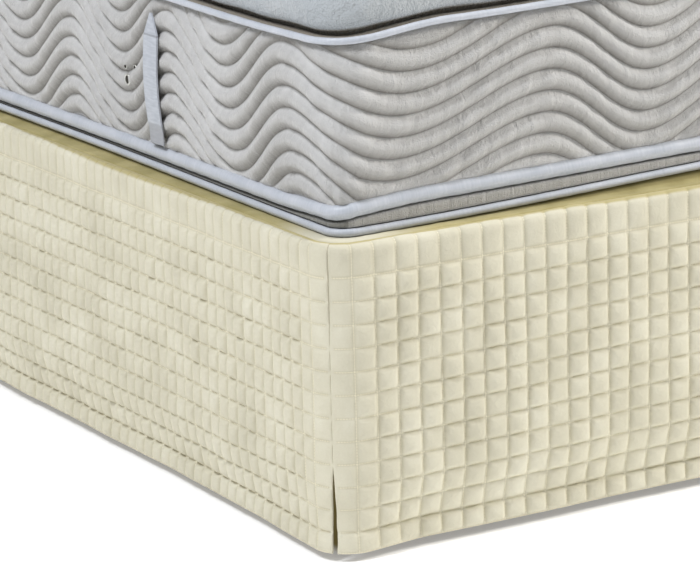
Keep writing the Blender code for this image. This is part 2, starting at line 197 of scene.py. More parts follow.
for side in ("left", "right"):
    for end in ("foot", "middle", "head"):
        low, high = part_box(f"leg_{side}_{end}")
        bpy.ops.object.select_all(action="DESELECT")
        bpy.ops.mesh.primitive_cone_add(vertices=40, radius1=LEG_FOOT, radius2=LEG_TOP,
                                        depth=high.z - low.z, location=(low + high) / 2)
        leg = bpy.context.object
        leg.name = f"turned_leg_{side}_{end}"
        bpy.ops.object.transform_apply()
        bevel_edges(leg, lambda m, d: m.z < 1e-4 and abs(d.z) < 0.1, FOOT_EDGE, 3)
        bevel_edges(leg, lambda m, d: m.z > high.z - 1e-4 and abs(d.z) < 0.1, TOP_EDGE, 2)
        select_only(leg)
        bpy.ops.object.shade_smooth_by_angle(angle=math.radians(40))
        leg.data.materials.append(beech)
        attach(leg, "root")
        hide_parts(f"leg_{side}_{end}")

# ----------------------------------------------------------
# Skirt panels. Three lengths of ivory microfibre, machine-quilted in squares over a thin wadding,
# sewn to the deck at their top edge. They turn down over the base's edge, lean in under the last
# two rows, end in a turned and stitched hem, and meet in a seam at each foot corner, with a slit
# below it. The squares lie flatter beside the seam, where the cloth is drawn up and turned in.
SQUARE = 0.0261  # height of a quilted square
CORNER_RADIUS, SEAM_OFFSET = 0.045, -0.004
THICKNESS, CLEARANCE = 0.0045, 0.002
ROLL_RADIUS, FLAP = 0.009, 0.0035
TOUCH = 0.0003  # what lies between two pieces that touch
FIRST_ROW, UPRIGHT_ROWS, LEANING_ROWS, HEM_BAND = 1.41 * SQUARE, 9, 2, 0.0238
LEAN, CORNER_LEAN, FLARE = 12, 3, 8  # degrees
LEAN_BEND, HEM_BEND = 0.008, 0.004
SLIT_LENGTH, SLIT_MOUTH, SLIT_CURVE = 0.092, 0.0062, 0.38
SEAM_CLOSED = 0.00004  # half of what lies between two panels above the slit

roll_arc = ROLL_RADIUS * math.pi / 2
first_line = FLAP + roll_arc + FIRST_ROW - ROLL_RADIUS
lean_start = first_line + UPRIGHT_ROWS * SQUARE
hem_start = lean_start + LEANING_ROWS * SQUARE
cloth_length = hem_start + HEM_BAND
side_bend = CORNER_RADIUS * math.pi / 4 + SEAM_OFFSET
foot_bend = CORNER_RADIUS * math.pi / 4 - SEAM_OFFSET
base_size = base_high - base_low
base_middle_y = (base_low.y + base_high.y) / 2
corner_x = base_size.x / 2 - BASE_FOOT_CORNER
corner_y = base_size.y / 2 - BASE_FOOT_CORNER
foot_run = 2 * foot_bend + base_size.x - 2 * BASE_FOOT_CORNER
side_run = side_bend + base_size.y - BASE_FOOT_CORNER

# The way that the cloth falls: its heading in degrees at places along it, 0 outwards, 90 down.
FALL_AT = (0, FLAP, FLAP + roll_arc, lean_start - LEAN_BEND, lean_start + LEAN_BEND,
           hem_start - HEM_BEND, hem_start + HEM_BEND / 2, cloth_length)
FALL_STEP = 0.0005
fall_at = np.arange(0, cloth_length + FALL_STEP, FALL_STEP)


def fall(along, lean):
    """The cloth's heading, how far outside the base's edge it lies and how high, at places along it."""
    headings = (0, 0, 90, 90, 90 + lean, 90 + lean, 90 - FLARE, 90 - FLARE / 2)
    turn = np.radians(np.interp(fall_at[:-1] + FALL_STEP / 2, FALL_AT, headings))
    out = np.concatenate([[0], np.cumsum(FALL_STEP * np.cos(turn))])
    out += CLEARANCE + THICKNESS / 2 - ROLL_RADIUS - FLAP
    height = np.concatenate([[0], -np.cumsum(FALL_STEP * np.sin(turn))])
    height += base_high.z + TOUCH + THICKNESS / 2
    return np.array([np.radians(np.interp(along, FALL_AT, headings)), np.interp(along, fall_at, out),
                     np.interp(along, fall_at, height)])


THICK_AT = (0, FLAP + roll_arc / 2, hem_start - HEM_BEND, hem_start, hem_start + HEM_BEND,
            cloth_length)
THICK = (0.0022, THICKNESS, THICKNESS, 0.0032, 0.0060, 0.0054)


def ease(share):
    share = np.clip(share, 0, 1)
    return share * share * (3 - 2 * share)


def ripple(place, length, shift=0.0):
    """A wave between -1 and 1 that repeats every length."""
    return np.sin(2 * np.pi * place / length + shift)


def puff(share, shoulder, power=2.0):
    """Height of stuffed cloth between two seams: 0 at them, and 1 past its rounded shoulders."""
    return 1 - np.clip(1 - np.minimum(share, 1 - share) / shoulder, 0, 1) ** power


def stations(lines, shares):
    """(place, share of its interval, number of its interval) at the shares between the lines."""
    found = [(a + (b - a) * share, share, i) for i, (a, b) in enumerate(zip(lines, lines[1:]))
             for share in shares]
    found.append((lines[-1], 1.0, len(lines) - 2))
    return [np.array(column) for column in zip(*found)]


CORNER_STRIP = 0.02  # beside a corner seam the cloth leans least and lies flattest
TOP_FULLER = 0.0015  # how much higher the rounded top edge stands away from the corners
WANDER = 0.003  # how far the hem wanders outwards


def skirt_points(run, along, off, bend, near_seam, lean_reach):
    """Where the skirt's surface lies, for a corner at the left of a panel that faces -Y.

    run is measured from the corner seam and along from the deck seam; off is how far the surface
    lies in front of the cloth's middle. near_seam is how far the slit's edge stands back from the
    seam. Past the corner's strip the cloth comes to its full lean over lean_reach. Gives arrays of
    x and y from the centre of the corner's rounding, and of the height.
    """
    share = ease((run - CORNER_STRIP) / lean_reach)
    heading, out, height = fall(along, CORNER_LEAN) * (1 - share) + fall(along, LEAN) * share
    out = out + off * np.sin(heading)
    height = height + off * np.cos(heading)
    fuller = TOP_FULLER * ease((run - 0.12) / 0.2) * ease(along / 0.006)
    height = height + fuller * (1 - ease((along - 0.012) / 0.05))
    wander = ripple(run, 0.62, 0.4) + ripple(run, 0.27, 1.9)
    wander = WANDER * (0.5 + wander / 4) * ease(along / cloth_length)
    out = out + wander * ease((run - side_bend) / 0.2)
    place = run + near_seam * np.clip(1 - run / 0.03, 0, 1)
    turn = np.clip((bend - place) / CORNER_RADIUS, 0, None)
    reach = BASE_FOOT_CORNER + out
    x = np.clip(place - bend, 0, None) - np.sin(turn) * reach
    y = -np.cos(turn) * reach
    return x, y, height


def grid_faces(index):
    """Faces between the neighbours in a grid of point numbers."""
    corners = [index[:-1, :-1], index[:-1, 1:], index[1:, 1:], index[1:, :-1]]
    return np.stack(corners, -1).reshape(-1, 4)


def cloth_mesh(name, points, faces, maps, material):
    """An object of points and faces, with UV maps given as one (u, v) for each point."""
    mesh = bpy.data.meshes.new(name)
    mesh.from_pydata(np.asarray(points, float).reshape(-1, 3).tolist(), [], faces)
    corner_of = np.zeros(len(mesh.loops), np.int32)
    mesh.loops.foreach_get("vertex_index", corner_of)
    for title, values in maps.items():
        layer = mesh.uv_layers.new(name=title)
        layer.data.foreach_set("uv", np.asarray(values, np.float32)[corner_of].ravel())
    mesh.materials.append(material)
    mesh.shade_smooth()
    piece = bpy.data.objects.new(name, mesh)
    bpy.context.scene.collection.objects.link(piece)
    return piece


SHARES = (0, 0.05, 0.14, 0.24, 0.5, 0.76, 0.86, 0.95)  # of a square, where its surface is drawn
TOP_PLACES = (0, 0.0018, FLAP, 0.0055, 0.008, 0.011, 0.0145, 0.018, 0.022, 0.027, 0.032, 0.037,
              0.0405, 0.0432)
FULLNESS, FULLNESS_VARIES, TOP_FULLNESS, SHOULDER = 0.0045, 0.16, 0.65, 0.26
FLAT_REACH = 0.055  # over this the squares come to their fullness, past a corner's strip
TURNED_EDGE, TURNED_MIDDLE, TURNED_WIDTH = 0.0011, 0.0010, 0.0022
UNEVEN = 0.0005
TURNED_ROUND = (0, 3, 2, 1)  # the order of a face's points that turns it round


def quilted_panel(name, node, length, lines, bend, flatter, lean_reach, slit_share, to_bed,
                  two_corners, seed, material):
    """A panel from a corner seam at run 0 to run = length, with column stitching at the lines.

    flatter is how much of the squares' fullness is lost beside the seam, and slit_share is how much
    of the slit is cut from this panel.
    """
    chance = np.random.default_rng(seed)
    run, run_share, column = stations(lines, SHARES)
    rows = [first_line + SQUARE * i for i in range(UPRIGHT_ROWS + LEANING_ROWS + 1)]
    rows.append(cloth_length - 0.0012)
    along, row_share, row = stations(rows, SHARES)
    top = np.array(TOP_PLACES)
    along = np.concatenate([top, along, [cloth_length]])
    top_share = np.clip((top - FLAP) / (first_line - FLAP), 0, 1)
    row_share = np.concatenate([top_share, row_share, [1.0]])
    row = np.concatenate([np.zeros(len(top), int), row + 1, [row[-1] + 1]])
    runs, alongs = np.meshgrid(run, along, indexing="ij")
    from_seam = np.minimum(runs, length - runs) if two_corners else runs

    # How full each square is: it varies, and is less at the top and beside the corner seams.
    full = 1 + FULLNESS_VARIES * chance.standard_normal((len(lines), len(rows) + 2))
    full = full[column][:, row]
    full = full * (1 - flatter * (1 - ease((from_seam - CORNER_STRIP) / FLAT_REACH)))
    full = full * np.where(row == 0, TOP_FULLNESS, 1.0)[None, :]
    puffed_run = puff(run_share, SHOULDER, 1.5)[:, None]
    puffed_row = puff(row_share, SHOULDER, 1.5)[None, :]
    relief = FULLNESS * puffed_run * puffed_row * full
    uneven = ripple(runs, 0.19, 1.3 * seed) * ripple(alongs, 0.26, 0.4)
    uneven = uneven + ripple(runs / 0.113 + alongs / 0.31, 1, seed)
    turned_edge = TURNED_EDGE * np.exp(-(((from_seam - TURNED_MIDDLE) / TURNED_WIDTH) ** 2))
    ground = np.interp(alongs, THICK_AT, THICK) / 2 - 0.0026
    rounding = np.where(alongs >= cloth_length - 1e-6, 0.55, 1.0)
    front = (ground + relief + turned_edge * ease(alongs / 0.012) + UNEVEN * uneven) * rounding
    opened = np.clip(1 - (cloth_length - alongs) / SLIT_LENGTH, 0, 1)
    gap = SEAM_CLOSED + SLIT_MOUTH * slit_share * opened**SLIT_CURVE
    gap = gap + 0.0007 * opened * ripple(alongs, 0.037, 2.1 * seed) * (opened < 0.97)

    # The back is coarse: one face for each square.
    last_line = len(SHARES)
    back_columns = list(range(0, len(run), last_line))
    back_rows = [0, 2, 5, 7, 10, len(top)]
    back_rows += list(range(len(top) + last_line, len(along) - 1, last_line)) + [len(along) - 1]
    back_at = np.ix_(back_columns, back_rows)
    back = -(np.interp(alongs, THICK_AT, THICK) / 2 - 0.0006)

    def placed(picked_runs, picked_alongs, off, picked_gap):
        mirrored = two_corners & (picked_runs > length / 2)
        near = np.where(mirrored, length - picked_runs, picked_runs)
        x, y, height = skirt_points(near, picked_alongs, off, bend, picked_gap, lean_reach)
        x, y = to_bed(x, y, mirrored)
        return np.stack([x, y + base_middle_y, height], axis=-1)

    fronts = placed(runs, alongs, front, gap)
    backs = placed(runs[back_at], alongs[back_at], back[back_at], gap[back_at])
    points = np.concatenate([fronts.reshape(-1, 3), backs.reshape(-1, 3)])
    cells_u = np.interp(runs, lines, np.arange(len(lines)))
    cells_v = np.interp(alongs, [0] + rows, np.arange(len(rows) + 1))
    maps = {}
    for title, u, v in (("cells", cells_u, cells_v), ("cloth", runs, alongs)):
        faces_uv = [np.stack([u[at], v[at]], -1).reshape(-1, 2) for at in (..., back_at)]
        maps[title] = np.concatenate(faces_uv)
    wide, tall = runs.shape
    index = np.arange(wide * tall).reshape(wide, tall)
    behind = np.arange(backs.shape[0] * backs.shape[1]).reshape(backs.shape[:2]) + wide * tall
    faces = grid_faces(index).tolist() + grid_faces(behind)[:, TURNED_ROUND].tolist()
    # The four edges join the fine front to the coarse back with one face for each back face.
    for i, (a, b) in enumerate(zip(back_columns, back_columns[1:])):
        faces.append(index[a : b + 1, 0].tolist() + [behind[i + 1, 0], behind[i, 0]])
        faces.append(index[a : b + 1, -1][::-1].tolist() + [behind[i, -1], behind[i + 1, -1]])
    for i, (a, b) in enumerate(zip(back_rows, back_rows[1:])):
        faces.append(index[0, a : b + 1][::-1].tolist() + [behind[0, i], behind[0, i + 1]])
        faces.append(index[-1, a : b + 1].tolist() + [behind[-1, i + 1], behind[-1, i]])
    piece = cloth_mesh(name, points, faces, maps, material)
    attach(piece, "root")
    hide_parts(node)
    piece.data.set_sharp_from_angle(angle=math.radians(65))
    return piece


# Brushed polyester microfibre over wadding: matt, with a soft nap that catches light at a glance.
# The nap is really under 0.2 mm and is drawn as 2 mm clouds. The needle's holes draw the cloth into
# grooves, darkened with painted shade within 2 to 4 mm of the stitching, whose 2.5 mm stitches
# start 3.4 mm apart.
quilt_cloth, tree, shader = new_material("brushed_ivory_microfibre", {
    "Roughness": 0.88, "Sheen Weight": 0.35, "Sheen Roughness": 0.45, "Sheen Tint": "FFF6DC"})
THREAD, STITCH = 0.022, 0.0034  # a share of a square, and metres
AMOUNT, UNDER, OVER, MIXED = 0, 6, 7, 2  # sockets of a Mix node that mixes colours
SMOOTH = {"interpolation_type": "SMOOTHSTEP"}


def overlay(tree, colour, *shades):
    """Lays shades over a colour, each given by its mask, its strength and its hex colour."""
    for mask, strength, shade in shades:
        amount = add(tree, "Math MULTIPLY", (mask, strength))
        colour = add(tree, "Mix", {AMOUNT: amount, UNDER: colour, OVER: shade}, MIXED,
                     data_type="RGBA")
    return colour


metres = add(tree, "UVMap", uv_map="cloth")
cell_axes = add(tree, "SeparateXYZ", (add(tree, "UVMap", uv_map="cells"),), None)
metre_axes = add(tree, "SeparateXYZ", (metres,), None)
from_corner = add(tree, "Math PINGPONG", (metre_axes[0], foot_run / 2))
off_corner = add(tree, "Math GREATER_THAN", (from_corner, 0.004))
# Painted shade along the stitched grooves, and the thread's own lighter colour in them.
groove_shades, threads = [], []
for across, down, wide, deep in ((0, 1, 0.16, 0.7), (1, 0, 0.09, 1.0)):
    off_line = add(tree, "Math PINGPONG", (cell_axes[across], 0.5))
    # A MapRange node's inputs in order: the value, from low and high, to low and high.
    groove_shades.append(add(tree, "MapRange", (off_line, 0.0, wide, deep, 0.0), **SMOOTH))
    on_line = add(tree, "Math LESS_THAN", (off_line, THREAD))
    stitch = add(tree, "Math PINGPONG", (metre_axes[down], STITCH / 2))
    stitch = add(tree, "Math LESS_THAN", (stitch, STITCH * 0.36))
    threads.append(add(tree, "Math MULTIPLY", (on_line, stitch)))
groove_shade, thread = [
    add(tree, "Math MULTIPLY", (add(tree, "Math MAXIMUM", pair), off_corner))
    for pair in (groove_shades, threads)
]
nap = add(tree, "TexNoise", {"Vector": metres, "Scale": 480, "Detail": 3, "Roughness": 0.6})
cloud = add(tree, "TexNoise", {"Vector": metres, "Scale": 14, "Detail": 3})
tone = weighted(tree, (nap, 0.2), (cloud, 0.8))
colour = add(tree, "ValToRGB", (tone,), stops={0.3: "C1BDAA", 0.5: "CBC7B4", 0.7: "D4D1C0"})
# The top edge is in the shade of the mattress, most of all about 0.45 m from the corner seams.
shade_edge = add(tree, "MapRange", (from_corner, 0.05, 0.45, 0.0060, -0.0020), **SMOOTH)
past_middle = add(tree, "MapRange", (from_corner, 0.50, 0.85, 0.0, 0.0080), **SMOOTH)
shaded = add(tree, "Math ADD", (shade_edge, past_middle))
shaded = add(tree, "Math ADD", (metre_axes[1], shaded))
in_shade = add(tree, "MapRange", (shaded, 0.0085, 0.0120, 1.0, 0.0), **SMOOTH)
colour = overlay(tree, colour, (groove_shade, 0.42, "ADA688"), (thread, 0.55, "EFE9D2"),
                 (in_shade, 0.85, "A79B66"))
# The wadding's fullness leaves 8 mm crumples in the cloth, about half a millimetre high.
crumple = add(tree, "TexNoise", {"Vector": metres, "Scale": 120, "Detail": 2, "Distortion": 0.8})
relief = weighted(tree, (thread, 0.3), (nap, 0.14), (crumple, 1.0))
finish(tree, shader, colour, relief, 0.55, 0.0016)

# Widths of the squares: they look 28 mm wide on the foot and 21 mm on the sides.
FOOT_SQUARES, SIDE_SQUARE, SIDE_FIRST = 57, 0.0213, 0.0273
side_lines = [0.0] + list(np.arange(SIDE_FIRST, side_run - 0.006, SIDE_SQUARE)) + [side_run]
foot_lines = [foot_run * i / FOOT_SQUARES for i in range(FOOT_SQUARES + 1)]


def side_place(side):
    return lambda x, y, mirrored: (side * (corner_x - y), x - corner_y)


def foot_place(x, y, mirrored):
    return np.where(mirrored, corner_x - x, x - corner_x), y - corner_y


for side, side_name, seed in ((-1, "left", 1), (1, "right", 2)):
    panel = quilted_panel(
        f"quilted_side_{side_name}", f"side_panel_{side_name}", side_run, side_lines, side_bend,
        flatter=0.40, lean_reach=0.22, slit_share=0.72, to_bed=side_place(side), two_corners=False,
        seed=seed, material=quilt_cloth)
panel.data.flip_normals()  # of the right one, which is turned the other way
quilted_panel("quilted_foot", "foot_panel", foot_run, foot_lines, foot_bend, flatter=0.72,
              lean_reach=0.10, slit_share=0.28, to_bed=foot_place, two_corners=True, seed=3,
              material=quilt_cloth)

# ----------------------------------------------------------
# Deck. Plain ivory cloth laid on the base under the mattress and sewn to the panels' top edges.
# Only a strip of it shows, in the shade, and it is drawn up with the panels at the foot corners.
deck_low, deck_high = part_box("deck")
DECK_THICKNESS = 0.0015
LEAST_RADIUS = 0.006  # of an outline's corners, however far in it lies


def outline_template(counts, arc_steps):
    """Points round a rectangle from its left foot corner on, as arrays of two signs and an angle.

    counts is how many steps the ends and the sides have. The signs are between -1 and 1 on the
    straight parts.
    """
    corners = ((-1, -1), (1, -1), (1, 1), (-1, 1))
    rows = []
    for i, (x, y) in enumerate(corners):
        ahead_x, ahead_y = corners[(i + 1) % 4]
        rows += [(x, y, 180 + 90 * (i + k / arc_steps)) for k in range(arc_steps + 1)]
        shares = [k / counts[i % 2] for k in range(1, counts[i % 2])]
        rows += [(x + (ahead_x - x) * k, y + (ahead_y - y) * k, 270 + 90 * i) for k in shares]
    return np.array(rows, float).T


def rounded_outline(template, half_x, half_y, radius, middle_y):
    """The template's points, for a half width, half length and corner radius."""
    across, along, degrees = template
    x = across * (half_x - radius) + radius * np.cos(np.radians(degrees))
    y = along * (half_y - radius) + radius * np.sin(np.radians(degrees)) + middle_y
    return np.stack([x, y], -1)


def loops_mesh(name, loops, maps, material, cap_ends=True):
    """A closed piece through equal loops of points, each loop higher or further in than the last."""
    loops = np.array(loops)
    count, around = loops.shape[:2]
    index = np.arange(count * around).reshape(count, around)
    closed = np.hstack([index, index[:, :1]])
    faces = grid_faces(closed).tolist()
    if cap_ends:
        faces += [index[0][::-1].tolist(), index[-1].tolist()]
    else:
        faces += grid_faces(closed[[-1, 0]]).tolist()
    return cloth_mesh(name, loops, faces, maps, material)


# Plain-woven ivory cloth, olive in the shade of the mattress, and in the light by the foot corners.
deck_cloth, tree, shader = new_material("plain_deck_cloth", {"Roughness": 0.9, "Sheen Weight": 0.15})
place = add(tree, "TexCoord", output="Object")
cloud = add(tree, "TexNoise", {"Vector": place, "Scale": 22, "Detail": 4})
colour = add(tree, "ValToRGB", (cloud,), stops={0.35: "948A58", 0.65: "ABA070"})
across, along, _ = add(tree, "SeparateXYZ", (place,), None)
either_side = add(tree, "CombineXYZ", (add(tree, "Math ABSOLUTE", (across,)), along))
to_corner = add(tree, "VectorMath DISTANCE", (either_side, (base_high.x, base_low.y, 0)), "Value")
lit = add(tree, "MapRange", (to_corner, 0.05, 0.15, 1.0, 0.0), **SMOOTH)
colour = overlay(tree, colour, (lit, 0.9, "CBC7B4"))
crumple = add(tree, "TexNoise", {"Vector": place, "Scale": 160, "Detail": 4})
finish(tree, shader, colour, crumple, 0.4, 0.001)

# The mattress's lower edge, which lifts away from its corners, draws the deck up beneath it.
cord_low, cord_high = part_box("mattress_lower_cord")
outline_half_x = cord_high.x
STRAIGHT_FROM, SIDE_LIFT, END_LIFT, LIFT_REACH = 0.045, 0.005, 0.015, 0.63


def lower_lift(back, at_end):
    """How far the mattress's lower edge is lifted, back from the end of a corner's rounding."""
    return np.where(at_end, END_LIFT, SIDE_LIFT) * ease(back / LIFT_REACH)


deck_template = outline_template((132, 172), 8)
deck_at_end = np.abs(deck_template[0]) < 1
deck_loops, deck_uv = [], []
ledge = base_size.x / 2 - outline_half_x
# From the middle outwards: how far inside the base's edge, and the share of the mattress's lift.
DECK_ROWS = ((0.075, 0.0), (0.050, 0.0), (ledge + 0.0122, 0.0), (ledge + 0.0112, 1.0),
             (ledge + 0.0070, 0.8), (ledge + 0.0030, 0.4), (ledge - 0.0020, 0.0), (0.015, 0.0),
             (base_high.x - deck_high.x, 0.0))
CREASE = 0.0006
for thickness, order in ((0.0, DECK_ROWS), (DECK_THICKNESS, DECK_ROWS[::-1])):
    for inset, drawn_up in order:
        round_by = np.where(deck_template[1] < 0, BASE_FOOT_CORNER, BASE_HEAD_CORNER)
        outline = rounded_outline(deck_template, base_size.x / 2 - inset, base_size.y / 2 - inset,
                                  np.maximum(round_by - inset, LEAST_RADIUS), base_middle_y)
        x, y = outline.T
        creases = ripple(x, 0.071, 1) * ripple(y, 0.093) + 1
        creases += 0.6 * (ripple(x + y, 0.031) + 1)
        creases = CREASE * creases * float(ease((inset - 0.010) / 0.008)) * (inset < ledge)
        height = base_high.z + TOUCH + thickness + creases
        back = np.where(deck_at_end, outline_half_x - np.abs(x),
                        base_size.y / 2 - np.abs(y - base_middle_y))
        height = height + drawn_up * lower_lift(back - STRAIGHT_FROM, deck_at_end)
        deck_loops.append(np.stack([x, y, height], -1))
        deck_uv.append(outline)
deck = loops_mesh("deck_cloth", deck_loops, {"cloth": np.concatenate(deck_uv)}, deck_cloth)
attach(deck, "root")
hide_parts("deck")

# ----------------------------------------------------------
# Mattress. A spring mattress whose border is a silver-grey knit, machine-quilted over wadding in
# long waves that run on round the corners. Its underside is plain cloth, and a folded grey band
# lies between the cord and the roll at its lower edge.
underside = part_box("mattress")[0].z
outline_half_y = (cord_high.y - cord_low.y) / 2
mattress_y = (cord_low.y + cord_high.y) / 2
CORNER_AT, CORNER_RADII = (0.04, 0.20), (0.030, 0.060)  # rounder higher up
CHANNEL = 0.0237  # between the waves' seams
WAVES_FROM = -0.0019  # the lowest seam's middle, above the underside
ARC_STEPS = 12
template = outline_template((176, 236), ARC_STEPS)
at_end = np.abs(template[0]) < 1
back = (1 - np.abs(template[0])) * (outline_half_x - STRAIGHT_FROM)
back += (1 - np.abs(template[1])) * (outline_half_y - STRAIGHT_FROM)
# The lower edge lifts away from the corners, and the upper edge droops towards them.
low_lift = lower_lift(back, at_end)
at_side = np.abs(template[1]) < 1
# At the ends both rises begin in the corners' rounding: places are counted back through it.
end_back = np.where(at_end, back, -0.06 * np.arccos(np.abs(np.sin(np.radians(template[2])))))
ROLL_SHARE = 0.6  # of that lift for the edge roll, which also leaves the cord at the ends
roll_off = np.where(at_side, -0.003 * ease(back / 0.10), 0.009 * ease((end_back + 0.08) / 0.18))
roll_lift = ROLL_SHARE * low_lift + roll_off
end_rise = 0.0125 * ease((end_back + 0.06) / 0.16) + 0.004 * ease((end_back - 0.10) / 0.25)
side_rise = 0.0055 * ease((back - 0.1) / 0.40) - 0.001 * ease(back / 0.1)
high_lift = np.where(at_side, side_rise, end_rise) - 0.0055


def mattress_loop(inset, height, low=0.0, roll=0.0, high=0.0):
    """A loop round the mattress, with its shares of what its lower edge, roll and upper edge do."""
    radius = np.maximum(np.interp(height, CORNER_AT, CORNER_RADII) - inset, LEAST_RADIUS)
    plan = rounded_outline(template, outline_half_x - inset, outline_half_y - inset, radius,
                           mattress_y)
    heights = underside + height + low * low_lift + roll * roll_lift + high * high_lift
    return np.concatenate([plan, heights[:, None]], axis=1)


def round_mattress(name, rows, material, cap_ends=True):
    """A piece of loops round the mattress, each with its place up the cloth for the UV map."""
    loops, ups = zip(*rows)
    uvs = np.concatenate([np.stack([around, np.full(len(around), up)], -1) for up in ups])
    return loops_mesh(name, loops, {"cloth": uvs}, material, cap_ends)


plan_loop = mattress_loop(0.0, 0.12)[:, :2]
steps = np.linalg.norm(np.roll(plan_loop, -1, axis=0) - plan_loop, axis=1)
girth = steps.sum()
around = np.concatenate([[0], np.cumsum(steps)[:-1]]) - steps[: ARC_STEPS // 2].sum()
around = (around + girth / 2) % girth - girth / 2  # from the middle of the left foot corner

# Where the waves turn, measured round from that corner, and how high: a trough, then a crest.
WAVES = ((0.084, -0.0155), (0.268, 0.0365), (0.406, -0.0270))
WAVES_BEFORE = ((-0.768, -0.0300), (-0.623, 0.0395), (-0.491, -0.0305), (-0.368, 0.0330),
                (-0.237, -0.0340), (-0.090, 0.0360))
UNSEEN_WAVE, UNSEEN_LENGTH = 0.03, 0.30
unseen = girth + WAVES_BEFORE[0][0] - WAVES[-1][0]
half_waves = 2 * round(unseen / UNSEEN_LENGTH)
turns = list(WAVES)
for i in range(1, half_waves):
    turns.append((WAVES[-1][0] + unseen * i / half_waves, UNSEEN_WAVE * (1 if i % 2 else -1)))
turns += [(girth + turn, up) for turn, up in WAVES_BEFORE]
turns = [(turns[-1][0] - girth, turns[-1][1])] + turns + [(turns[0][0] + girth, turns[0][1])]
turns_at, turns_up = np.array(turns).T


def wave_height(place):
    """How far the waves stand above their middle at places round the mattress."""
    at = np.clip(np.searchsorted(turns_at, place, side="right") - 1, 0, len(turns) - 2)
    share = (place - turns_at[at]) / (turns_at[at + 1] - turns_at[at])
    return turns_up[at] + (turns_up[at + 1] - turns_up[at]) * (1 - np.cos(np.pi * share)) / 2


waves_up = wave_height(around % girth)
BORDER_FROM, BORDER_TO = 0.0325, 0.2110
# How far the border stands in from the mattress's outline, at heights above its underside.
SIDE_AT = (0.0325, 0.045, 0.060, 0.090, 0.125, 0.160, 0.194, 0.205, 0.2115)
SIDE_INSET = (0.0066, 0.0058, 0.0045, 0.0030, 0.0025, 0.0030, 0.0045, 0.0070, 0.0100)
# Under the border and over it: height above the underside, inset, and shares of the lifts.
LOWER_ROWS = ((0.0000, 0.0700, 0.0, 0.0), (0.0002, 0.0300, 0.0, 0.0), (0.0003, 0.0150, 0.0, 0.0),
              (0.0012, 0.0125, 1.0, 0.0), (0.0030, 0.0103, 1.0, 0.0), (0.0092, 0.0103, 1.0, 0.0),
              (0.0096, 0.0070, 1.0, 0.0), (0.0100, 0.0052, 1.0, 0.0), (0.0113, 0.0044, 0.75, 0.25),
              (0.0126, 0.0046, 0.5, 0.5), (0.0139, 0.0042, 0.25, 0.75), (0.0150, 0.0056, 0.0, 1.0),
              (0.0157, 0.0183, 0.0, 1.0), (0.0290, 0.0184, 0.0, 1.0), (0.0308, 0.0150, 0.0, 1.0),
              (0.0316, 0.0120, 0.0, 1.0), (0.0321, 0.0092, 0.0, 1.0))
UPPER_ROWS = ((0.2118, 0.0105, 1.0), (0.2125, 0.0084, 1.0), (0.2195, 0.0084, 1.0),
              (0.2208, 0.0120, 1.0), (0.2210, 0.0190, 1.0), (0.2075, 0.0195, 0.0))
PLAIN = -1.0  # the UV map has the plain rows' heights from here on, and the waves from 0 on
rows = [(mattress_loop(inset, height, low, roll), PLAIN + height)
        for height, inset, low, roll in LOWER_ROWS]
CHANNELS = 11
WAVE_SHARES = (0, 0.06, 0.16, 0.36, 0.64, 0.84, 0.94)
WAVE_FULLNESS, WAVE_GROUND, TUCKED_OVER = 0.0085, 0.0030, 0.010
bottom, top = BORDER_FROM + roll_lift, BORDER_TO + high_lift
pucker = 0.14 * ripple(around, 0.043) + 0.14 * ripple(around, 0.029, 1)
for channel in range(CHANNELS):
    for share in WAVE_SHARES:
        turn = channel + share
        height = np.clip(CHANNEL * turn + waves_up + WAVES_FROM, bottom, top)
        tucked = ease((height - bottom) / TUCKED_OVER) * ease((top - height) / TUCKED_OVER)
        full = 0.55 * puff(share, 0.5) + 0.45 * math.sin(math.pi * share) ** 2
        full = full * (1 + pucker * np.sin(1.7 * channel + 30 * around)) * tucked
        share_up = (height - bottom) / (top - bottom)
        inset = np.interp(BORDER_FROM + share_up * (BORDER_TO - BORDER_FROM), SIDE_AT, SIDE_INSET)
        inset = inset + WAVE_GROUND * tucked - WAVE_FULLNESS * full
        rows.append((mattress_loop(inset, height), turn))
rows += [(mattress_loop(inset, height, high=lifted), PLAIN + height)
         for height, inset, lifted in UPPER_ROWS]

# Silver-grey knit, brushed a little to a sheen. Its stitches, really 0.5 mm, are drawn 1.6 mm
# apart, and small gathers cross the waves. Each wave has painted shade at its seams and over its
# lower third, and a painted highlight just below its upper seam.
border_knit, tree, shader = new_material("silver_grey_knit", {"Roughness": 0.62, "Sheen Weight": 0.4,
                                                              "Sheen Roughness": 0.4})
cloth_map = add(tree, "UVMap", uv_map="cloth")
up_cloth = add(tree, "SeparateXYZ", (cloth_map,), "Y")
place = add(tree, "TexCoord", output="Object")
gather_place = add(tree, "Mapping", {"Vector": cloth_map, "Scale": (95.0, 0.9, 1.0)})
gathers = add(tree, "TexNoise", {"Vector": gather_place, "Scale": 1, "Detail": 3,
                                 "Distortion": 0.6})
knit = add(tree, "TexVoronoi", {"Vector": place, "Scale": 620})
cloud = add(tree, "TexNoise", {"Vector": place, "Scale": 6, "Detail": 3})
tone = weighted(tree, (gathers, 0.4), (cloud, 0.6))
colour = add(tree, "ValToRGB", (tone,), stops={0.3: "BABABA", 0.7: "D0D0D0"})
up_wave = add(tree, "Math FRACT", (up_cloth,))
# Painted shade and highlight across each wave, multiplied over the quilted rows.
wave_shade_and_highlight = add(tree, "ValToRGB", (up_wave,), stops={
    0.0: "ABA8A2", 0.10: "C2BFBA", 0.34: "E4E3E1", 0.75: "F0F0F0", 0.90: "FFFFFF",
    0.965: "E6E6E6", 1.0: "ABA8A2"})
quilted = add(tree, "Math GREATER_THAN", (up_cloth, PLAIN / 2))
colour = add(tree, "Mix", {AMOUNT: quilted, UNDER: colour, OVER: wave_shade_and_highlight}, MIXED,
             data_type="RGBA", blend_type="MULTIPLY")
